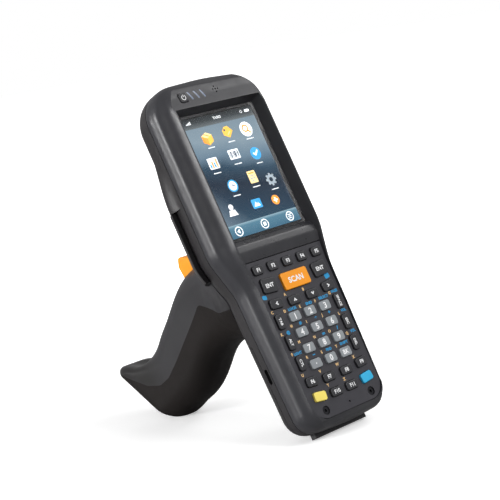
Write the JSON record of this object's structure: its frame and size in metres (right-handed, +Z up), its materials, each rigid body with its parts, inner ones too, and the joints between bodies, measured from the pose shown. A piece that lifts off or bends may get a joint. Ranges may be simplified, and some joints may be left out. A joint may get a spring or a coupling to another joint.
{
  "type": "portable barcode data terminal",
  "caption": "Handheld data-collection terminal with display, keypad and scan engine on a pistol handle with a trigger, standing on its lower end and the heel of the handle.",
  "frame": {"origin": "middle of the assembly's footprint box, on the table plane it stands on", "axes": "+Z up from the table, +X to the right seen from the display side, -Y towards the person facing the display; the terminal leans back about 69 degrees from the table"},
  "size_m": [0.0774, 0.1694, 0.1808],
  "materials": {
    "shell": "fine matt texture",
    "rear_plastic": "matt",
    "grip_plastic": "matt",
    "elastomer": "soft matt",
    "bridge": "satin",
    "panel": "satin",
    "silicone": "matt",
    "key_dark": "satin",
    "key_grey": "satin",
    "key_yellow": "satin",
    "key_blue": "satin",
    "orange": "satin",
    "window": "clear polished",
    "display": "lit picture",
    "scan_glass": "dark red tinted",
    "lamp": "clouded clear",
    "board": "lacquered board",
    "engine": "matt black",
    "contact_block": "matt",
    "steel": "zinc plated"
  },
  "bodies": {
    "terminal": {"front_shell": "shell", "display_window": "window", "lcd_panel": "display", "bridge_plate": "bridge", "keypad_panel": "panel", "keypad_mat": "silicone", "lamp_pipes": "lamp", "circuit_boards": "board", "rear_shell": "rear_plastic", "battery_pack": "rear_plastic", "scan_window": "scan_glass", "scan_engine": "engine", "dock_connector": "contact_block", "saddle_plate": "rear_plastic", "trigger_pin": "steel", "trigger_spring": "steel", "handle_left": "grip_plastic", "handle_right": "grip_plastic", "grip_overmould": "elastomer", "screws": "steel"},
    "power_button": {"power_button": "key_dark"},
    "trigger": {"trigger": "orange"},
    "key_scan": {"key_scan": "orange"},
    "key_f1": {"key_f1": "key_dark"},
    "key_f2": {"key_f2": "key_dark"},
    "key_f3": {"key_f3": "key_dark"},
    "key_f4": {"key_f4": "key_dark"},
    "key_f5": {"key_f5": "key_dark"},
    "key_enter_left": {"key_enter_left": "key_dark"},
    "key_arrow_left": {"key_arrow_left": "key_dark"},
    "key_left_top": {"key_left_top": "key_dark"},
    "key_left_middle": {"key_left_middle": "key_dark"},
    "key_left_bottom": {"key_left_bottom": "key_dark"},
    "key_enter_right": {"key_enter_right": "key_dark"},
    "key_arrow_right": {"key_arrow_right": "key_dark"},
    "key_right_top": {"key_right_top": "key_dark"},
    "key_right_middle": {"key_right_middle": "key_dark"},
    "key_right_bottom": {"key_right_bottom": "key_dark"},
    "key_arrow_up": {"key_arrow_up": "key_dark"},
    "key_arrow_down": {"key_arrow_down": "key_dark"},
    "key_1": {"key_1": "key_grey"},
    "key_2": {"key_2": "key_grey"},
    "key_3": {"key_3": "key_grey"},
    "key_4": {"key_4": "key_grey"},
    "key_5": {"key_5": "key_grey"},
    "key_6": {"key_6": "key_grey"},
    "key_7": {"key_7": "key_grey"},
    "key_8": {"key_8": "key_grey"},
    "key_9": {"key_9": "key_grey"},
    "key_star": {"key_star": "key_grey"},
    "key_0": {"key_0": "key_grey"},
    "key_back": {"key_back": "key_grey"},
    "key_f6": {"key_f6": "key_dark"},
    "key_f9": {"key_f9": "key_dark"},
    "key_f7": {"key_f7": "key_dark"},
    "key_f8": {"key_f8": "key_dark"},
    "key_yellow": {"key_yellow": "key_yellow"},
    "key_blue": {"key_blue": "key_blue"},
    "key_f10": {"key_f10": "key_dark"},
    "key_f11": {"key_f11": "key_dark"}
  },
  "joints": [
    {"name": "trigger_pull", "type": "hinge", "parent": "terminal", "child": "trigger", "pos_m": [0, -0.00787, 0.083], "axis": [-1, 0, 0], "range_deg": [0, 9], "stiffness_Nm_per_rad": 0.35, "springref_deg": -28.65, "deforming": ["trigger_spring"]},
    {"name": "power_press", "type": "slide", "parent": "terminal", "child": "power_button", "axis": [0, 0.9332, -0.3593], "range_m": [0, 0.0005], "stiffness_N_per_m": 300, "springref_m": -0.002},
    {"name": "press_scan", "type": "slide", "parent": "terminal", "child": "key_scan", "axis": [0, 0.9332, -0.3593], "range_m": [0, 0.0008], "stiffness_N_per_m": 300, "springref_m": -0.002},
    {"name": "press_f1", "type": "slide", "parent": "terminal", "child": "key_f1", "axis": [0, 0.9332, -0.3593], "range_m": [0, 0.0008], "stiffness_N_per_m": 300, "springref_m": -0.002},
    {"name": "press_f2", "type": "slide", "parent": "terminal", "child": "key_f2", "axis": [0, 0.9332, -0.3593], "range_m": [0, 0.0008], "stiffness_N_per_m": 300, "springref_m": -0.002},
    {"name": "press_f3", "type": "slide", "parent": "terminal", "child": "key_f3", "axis": [0, 0.9332, -0.3593], "range_m": [0, 0.0008], "stiffness_N_per_m": 300, "springref_m": -0.002},
    {"name": "press_f4", "type": "slide", "parent": "terminal", "child": "key_f4", "axis": [0, 0.9332, -0.3593], "range_m": [0, 0.0008], "stiffness_N_per_m": 300, "springref_m": -0.002},
    {"name": "press_f5", "type": "slide", "parent": "terminal", "child": "key_f5", "axis": [0, 0.9332, -0.3593], "range_m": [0, 0.0008], "stiffness_N_per_m": 300, "springref_m": -0.002},
    {"name": "press_enter_left", "type": "slide", "parent": "terminal", "child": "key_enter_left", "axis": [0, 0.9332, -0.3593], "range_m": [0, 0.0008], "stiffness_N_per_m": 300, "springref_m": -0.002},
    {"name": "press_arrow_left", "type": "slide", "parent": "terminal", "child": "key_arrow_left", "axis": [0, 0.9332, -0.3593], "range_m": [0, 0.0008], "stiffness_N_per_m": 300, "springref_m": -0.002},
    {"name": "press_left_top", "type": "slide", "parent": "terminal", "child": "key_left_top", "axis": [0, 0.9332, -0.3593], "range_m": [0, 0.0008], "stiffness_N_per_m": 300, "springref_m": -0.002},
    {"name": "press_left_middle", "type": "slide", "parent": "terminal", "child": "key_left_middle", "axis": [0, 0.9332, -0.3593], "range_m": [0, 0.0008], "stiffness_N_per_m": 300, "springref_m": -0.002},
    {"name": "press_left_bottom", "type": "slide", "parent": "terminal", "child": "key_left_bottom", "axis": [0, 0.9332, -0.3593], "range_m": [0, 0.0008], "stiffness_N_per_m": 300, "springref_m": -0.002},
    {"name": "press_enter_right", "type": "slide", "parent": "terminal", "child": "key_enter_right", "axis": [0, 0.9332, -0.3593], "range_m": [0, 0.0008], "stiffness_N_per_m": 300, "springref_m": -0.002},
    {"name": "press_arrow_right", "type": "slide", "parent": "terminal", "child": "key_arrow_right", "axis": [0, 0.9332, -0.3593], "range_m": [0, 0.0008], "stiffness_N_per_m": 300, "springref_m": -0.002},
    {"name": "press_right_top", "type": "slide", "parent": "terminal", "child": "key_right_top", "axis": [0, 0.9332, -0.3593], "range_m": [0, 0.0008], "stiffness_N_per_m": 300, "springref_m": -0.002},
    {"name": "press_right_middle", "type": "slide", "parent": "terminal", "child": "key_right_middle", "axis": [0, 0.9332, -0.3593], "range_m": [0, 0.0008], "stiffness_N_per_m": 300, "springref_m": -0.002},
    {"name": "press_right_bottom", "type": "slide", "parent": "terminal", "child": "key_right_bottom", "axis": [0, 0.9332, -0.3593], "range_m": [0, 0.0008], "stiffness_N_per_m": 300, "springref_m": -0.002},
    {"name": "press_arrow_up", "type": "slide", "parent": "terminal", "child": "key_arrow_up", "axis": [0, 0.9332, -0.3593], "range_m": [0, 0.0008], "stiffness_N_per_m": 300, "springref_m": -0.002},
    {"name": "press_arrow_down", "type": "slide", "parent": "terminal", "child": "key_arrow_down", "axis": [0, 0.9332, -0.3593], "range_m": [0, 0.0008], "stiffness_N_per_m": 300, "springref_m": -0.002},
    {"name": "press_1", "type": "slide", "parent": "terminal", "child": "key_1", "axis": [0, 0.9332, -0.3593], "range_m": [0, 0.0008], "stiffness_N_per_m": 300, "springref_m": -0.002},
    {"name": "press_2", "type": "slide", "parent": "terminal", "child": "key_2", "axis": [0, 0.9332, -0.3593], "range_m": [0, 0.0008], "stiffness_N_per_m": 300, "springref_m": -0.002},
    {"name": "press_3", "type": "slide", "parent": "terminal", "child": "key_3", "axis": [0, 0.9332, -0.3593], "range_m": [0, 0.0008], "stiffness_N_per_m": 300, "springref_m": -0.002},
    {"name": "press_4", "type": "slide", "parent": "terminal", "child": "key_4", "axis": [0, 0.9332, -0.3593], "range_m": [0, 0.0008], "stiffness_N_per_m": 300, "springref_m": -0.002},
    {"name": "press_5", "type": "slide", "parent": "terminal", "child": "key_5", "axis": [0, 0.9332, -0.3593], "range_m": [0, 0.0008], "stiffness_N_per_m": 300, "springref_m": -0.002},
    {"name": "press_6", "type": "slide", "parent": "terminal", "child": "key_6", "axis": [0, 0.9332, -0.3593], "range_m": [0, 0.0008], "stiffness_N_per_m": 300, "springref_m": -0.002},
    {"name": "press_7", "type": "slide", "parent": "terminal", "child": "key_7", "axis": [0, 0.9332, -0.3593], "range_m": [0, 0.0008], "stiffness_N_per_m": 300, "springref_m": -0.002},
    {"name": "press_8", "type": "slide", "parent": "terminal", "child": "key_8", "axis": [0, 0.9332, -0.3593], "range_m": [0, 0.0008], "stiffness_N_per_m": 300, "springref_m": -0.002},
    {"name": "press_9", "type": "slide", "parent": "terminal", "child": "key_9", "axis": [0, 0.9332, -0.3593], "range_m": [0, 0.0008], "stiffness_N_per_m": 300, "springref_m": -0.002},
    {"name": "press_star", "type": "slide", "parent": "terminal", "child": "key_star", "axis": [0, 0.9332, -0.3593], "range_m": [0, 0.0008], "stiffness_N_per_m": 300, "springref_m": -0.002},
    {"name": "press_0", "type": "slide", "parent": "terminal", "child": "key_0", "axis": [0, 0.9332, -0.3593], "range_m": [0, 0.0008], "stiffness_N_per_m": 300, "springref_m": -0.002},
    {"name": "press_back", "type": "slide", "parent": "terminal", "child": "key_back", "axis": [0, 0.9332, -0.3593], "range_m": [0, 0.0008], "stiffness_N_per_m": 300, "springref_m": -0.002},
    {"name": "press_f6", "type": "slide", "parent": "terminal", "child": "key_f6", "axis": [0, 0.9332, -0.3593], "range_m": [0, 0.0008], "stiffness_N_per_m": 300, "springref_m": -0.002},
    {"name": "press_f9", "type": "slide", "parent": "terminal", "child": "key_f9", "axis": [0, 0.9332, -0.3593], "range_m": [0, 0.0008], "stiffness_N_per_m": 300, "springref_m": -0.002},
    {"name": "press_f7", "type": "slide", "parent": "terminal", "child": "key_f7", "axis": [0, 0.9332, -0.3593], "range_m": [0, 0.0008], "stiffness_N_per_m": 300, "springref_m": -0.002},
    {"name": "press_f8", "type": "slide", "parent": "terminal", "child": "key_f8", "axis": [0, 0.9332, -0.3593], "range_m": [0, 0.0008], "stiffness_N_per_m": 300, "springref_m": -0.002},
    {"name": "press_yellow", "type": "slide", "parent": "terminal", "child": "key_yellow", "axis": [0, 0.9332, -0.3593], "range_m": [0, 0.0008], "stiffness_N_per_m": 300, "springref_m": -0.002},
    {"name": "press_blue", "type": "slide", "parent": "terminal", "child": "key_blue", "axis": [0, 0.9332, -0.3593], "range_m": [0, 0.0008], "stiffness_N_per_m": 300, "springref_m": -0.002},
    {"name": "press_f10", "type": "slide", "parent": "terminal", "child": "key_f10", "axis": [0, 0.9332, -0.3593], "range_m": [0, 0.0008], "stiffness_N_per_m": 300, "springref_m": -0.002},
    {"name": "press_f11", "type": "slide", "parent": "terminal", "child": "key_f11", "axis": [0, 0.9332, -0.3593], "range_m": [0, 0.0008], "stiffness_N_per_m": 300, "springref_m": -0.002}
  ]
}
